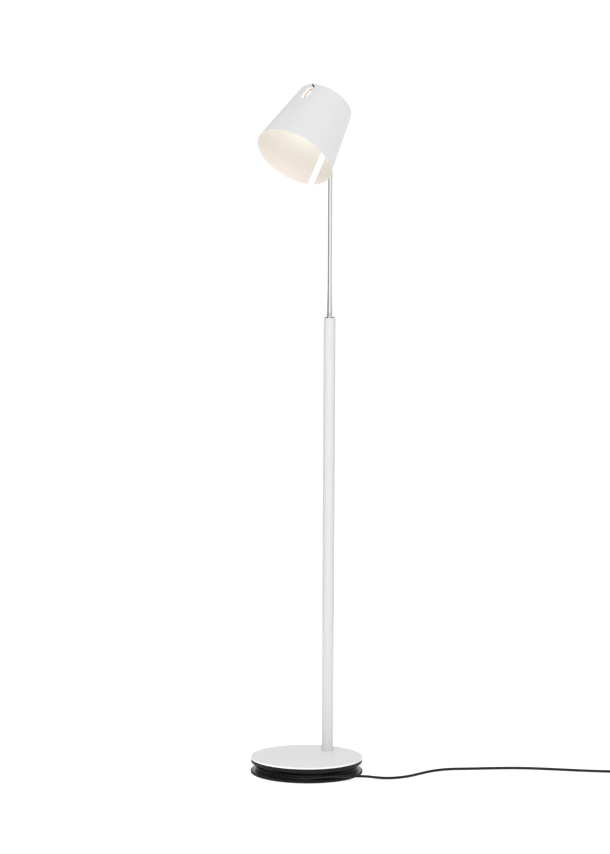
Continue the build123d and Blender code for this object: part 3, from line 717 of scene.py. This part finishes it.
def make_strap():
    """A woven hook-and-loop strap round the coil, on the side away from the lead."""
    spots = [
        (COIL_RADIUS - CORD_RADIUS, LOW_TURN),
        (COIL_RADIUS + CORD_RADIUS, LOW_TURN),
        (COIL_RADIUS, TOP_TURN),
    ]
    line = hull_outline(spots, CORD_RADIUS + STRAP_GAP + 0.02 * MM, 8)
    bm = bmesh.new()
    arc = radians(21.0)
    verts = [bm.verts.new((radius, 0, height)) for radius, height in line]
    edges = [bm.edges.new(pair) for pair in zip(verts, verts[1:] + verts[:1])]
    bmesh.ops.spin(bm, geom=verts + edges, cent=(0, 0, 0), axis=(0, 0, 1), angle=arc, steps=8)
    bmesh.ops.remove_doubles(bm, verts=bm.verts, dist=SAME_PLACE)
    bmesh.ops.recalc_face_normals(bm, faces=bm.faces)
    bmesh.ops.transform(bm, matrix=Matrix.Rotation(-arc / 2, 4, "Z"), verts=bm.verts)
    centre = COIL_CENTRE.xy.to_3d()
    placed(bm, bm.verts[:], centre, UP, aside=-LEFTWARD)
    uv = bm.loops.layers.uv.new("weave")
    heart = Vector((COIL_RADIUS, LOW_TURN + 2.0 * MM))
    for face in bm.faces:
        face_turn = None
        for loop in face.loops:
            local = loop.vert.co - centre
            out = local.xy.length
            lie = (Vector((out, local.z)) - heart).angle_signed(Vector((1, 0)), 0)
            if face_turn is not None and abs(lie - face_turn) > pi:
                lie += 2 * pi if lie < face_turn else -2 * pi
            face_turn = lie if face_turn is None else face_turn
            spread = local.xy.angle_signed((-LEFTWARD).xy, 0)
            loop[uv].uv = (lie * 6.5, spread * 32.0)
    strap = piece_from(bm, "coil_strap", STRAP_WEAVE, sharp_angle=60.0)
    wall = strap.modifiers.new("wall", "SOLIDIFY")
    wall.thickness = STRAP_WALL - 0.05 * MM
    wall.offset = 1.0
    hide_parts("cord_tie")
    return strap


def make_cord():
    """The mains cord with everything that is on it."""
    cord = cord_curve("mains_cord", CORD_RADIUS)
    cord.data.materials.append(CORD_SKIN)
    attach(cord, "stand")
    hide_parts("cord_winding", "cord_lead", "cord_coil", "cord_tail")
    winding_points()[0]
    make_strain_relief()
    make_boot()
    make_plug_body()
    make_pins()
    make_strap()


make_cord()


# ---------------------------------------------------------------- leads inside

def head_point(aside, backward, depth):
    """A place in the head: beside its axis, behind it, and in from the narrow end, in millimetres."""
    return narrow_centre + (SIDEWAYS * aside + BACKWARD * backward + MOUTHWARD * depth) * MM


def make_switch_leads():
    """Two thin silicone leads from the switch down to the light board, inside the front slot. Their tan
    colour and their run just behind the slot also stand in for a band of shade seen in it.
    """
    routes = []
    for side in (-0.95, 0.95):
        route = [
            (side, -44, 9.5), (side - 3.6, -49.5, 7.5), (side - 5.8, -53, 9.5), (side - 7.8, -53.5, 18),
            (side - 9.6, -53, 28), (side - 9.6, -50, 37), (side - 7.0, -42, 40), (side - 3.0, -34, 36),
            (side, -26.5, 31),
        ]
        routes.append([head_point(*spot) for spot in route])
    data = round_wire("switch_leads", routes, 0.9 * MM, sides=3, steps=8)
    data.materials.append(TAN_LEAD_AND_SLOT_SHADE)
    leads = bpy.data.objects.new("switch_leads", data)
    bpy.context.scene.collection.objects.link(leads)
    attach(leads, "head")


make_switch_leads()


def make_coil_lead():
    """The curly lead inside the pole, made as one fixed coil."""
    low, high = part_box("pole_coil_lead")
    axis = (low + high) / 2
    wire_radius = 1.4 * MM
    coil_radius = (high.x - low.x) / 2 - wire_radius
    tail = 8.0 * MM
    pitch = 7.0 * MM
    turn_points = 14
    run = high.z - low.z - 2 * tail
    turns = round(run / pitch)

    def on_axis(height):
        return Vector((axis.x, axis.y, height))

    route = [on_axis(low.z)]
    for index in range(turns * turn_points + 1):
        done = index / turn_points
        radius = coil_radius * eased(min(done, turns - done), 0.0, 1.5)
        angle = done * 2 * pi
        out = Vector((radius * cos(angle), radius * sin(angle), 0))
        route.append(on_axis(low.z + tail + run * done / turns) + out)
    route.append(on_axis(high.z))
    data = round_wire("coil_line", [route], wire_radius, sides=2, steps=2)
    line = bpy.data.objects.new("coil_line", data)
    mesh = bpy.data.meshes.new_from_object(line)
    bpy.data.objects.remove(line)
    bpy.data.curves.remove(data)
    mesh.materials.clear()
    mesh.materials.append(CORD_SKIN)
    mesh.shade_smooth()
    coil = bpy.data.objects.new("curly_lead", mesh)
    bpy.context.scene.collection.objects.link(coil)
    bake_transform(coil)
    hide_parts("pole_coil_lead")


make_coil_lead()


# ---------------------------------------------------------------- studio

FLOOR_REACH = 120.0
FLOOR_GLOW = 0.48
ROOM_TO_CAMERA = 1.0
ROOM_TO_LAMP = 0.66
CARD_DISTANCE = 1.6
CARD_SPLIT = 0.8              # the height where the cards behind the lamp turn from dark to bright


def make_floor():
    """A pale floor that runs out past the horizon, bright enough to lose its own shadows."""
    paper = Finish("floor_paper")
    paper.feed("Base Color", paper.blend(paper.noise(3.0, 2.0), grey(0.80), grey(0.82)))
    paper.feed("Emission Color", grey(1.0))
    paper.feed("Emission Strength", FLOOR_GLOW)
    paper.feed("Roughness", 0.9)
    bm = bmesh.new()
    bmesh.ops.create_circle(bm, cap_ends=True, segments=96, radius=FLOOR_REACH)
    thing_from(bm, "floor", paper.material)


def make_sky():
    """An even white room, whiter to the camera than to the lamp."""
    world = bpy.data.worlds.new("studio")
    bpy.context.scene.world = world
    world.use_nodes = True
    nodes, links = world.node_tree.nodes, world.node_tree.links
    white = nodes.new("ShaderNodeMix")
    white.data_type = "RGBA"
    white.inputs[6].default_value = grey(ROOM_TO_LAMP)
    white.inputs[7].default_value = grey(ROOM_TO_CAMERA)
    links.new(nodes.new("ShaderNodeLightPath").outputs["Is Camera Ray"], white.inputs[0])
    links.new(white.outputs[2], nodes["Background"].inputs["Color"])
    nodes["Background"].inputs["Strength"].default_value = 1.0


def round_the_lamp(azimuth):
    """The level direction at an angle round the lamp, in degrees from the camera's own side."""
    return VIEW_BACK * cos(radians(azimuth)) + VIEW_RIGHT * sin(radians(azimuth))


def make_card(name, azimuth, half_angle, tone, low=0.0, high=3.1):
    """An upright card round the lamp that shows only as a band of one tone in its metal and gloss."""
    cloth = Finish(name + "_cloth")
    cloth.feed("Base Color", grey(0.0))
    cloth.feed("Specular IOR Level", 0.0)
    cloth.feed("Emission Color", cloth.blend(cloth.noise(4.0, 2.0), grey(tone), grey(0.95 * tone)))
    cloth.feed("Emission Strength", 1.0)
    out = round_the_lamp(azimuth)
    half_width = CARD_DISTANCE * tan(radians(half_angle))
    turn = Matrix((UP.cross(out), UP, out)).transposed().to_4x4()
    place = out * CARD_DISTANCE + UP * (low + high) / 2
    bm = bmesh.new()
    made = bmesh.ops.create_grid(bm, x_segments=1, y_segments=1, size=1.0)["verts"]
    bmesh.ops.scale(bm, verts=made, vec=(half_width, (high - low) / 2, 1.0))
    bmesh.ops.transform(bm, matrix=Matrix.Translation(place) @ turn, verts=made)
    card = thing_from(bm, name, cloth.material)
    card.visible_camera = False
    card.visible_diffuse = False
    card.visible_shadow = False


def soft_light(name, azimuth, height, distance, size, power):
    """A round soft light that is aimed at the pole."""
    aim = Vector((0, 0, 0.8))
    out = round_the_lamp(azimuth)
    place = aim + (out * cos(radians(height)) + UP * sin(radians(height))) * distance
    data = bpy.data.lights.new(name, "AREA")
    data.shape = "DISK"
    data.size = size
    data.energy = power
    light = bpy.data.objects.new(name, data)
    light.location = place
    light.rotation_euler = (aim - place).to_track_quat("-Z", "Y").to_euler()
    bpy.context.scene.collection.objects.link(light)


def make_studio():
    make_floor()
    make_sky()
    make_card("dark_card_left", -78, 30, 0.16)
    make_card("grey_card_right", 74, 30, 0.58)
    for name, azimuth in (("behind_left", -134), ("behind_right", 134)):
        make_card("low_card_" + name, azimuth, 24, 0.06, high=CARD_SPLIT)
        make_card("high_card_" + name, azimuth, 24, 1.3, low=CARD_SPLIT)
    soft_light("key", 0, 38, 5.0, 2.6, 134)
    view = bpy.context.scene.view_settings
    view.view_transform = "Standard"
    view.look = "None"


make_studio()
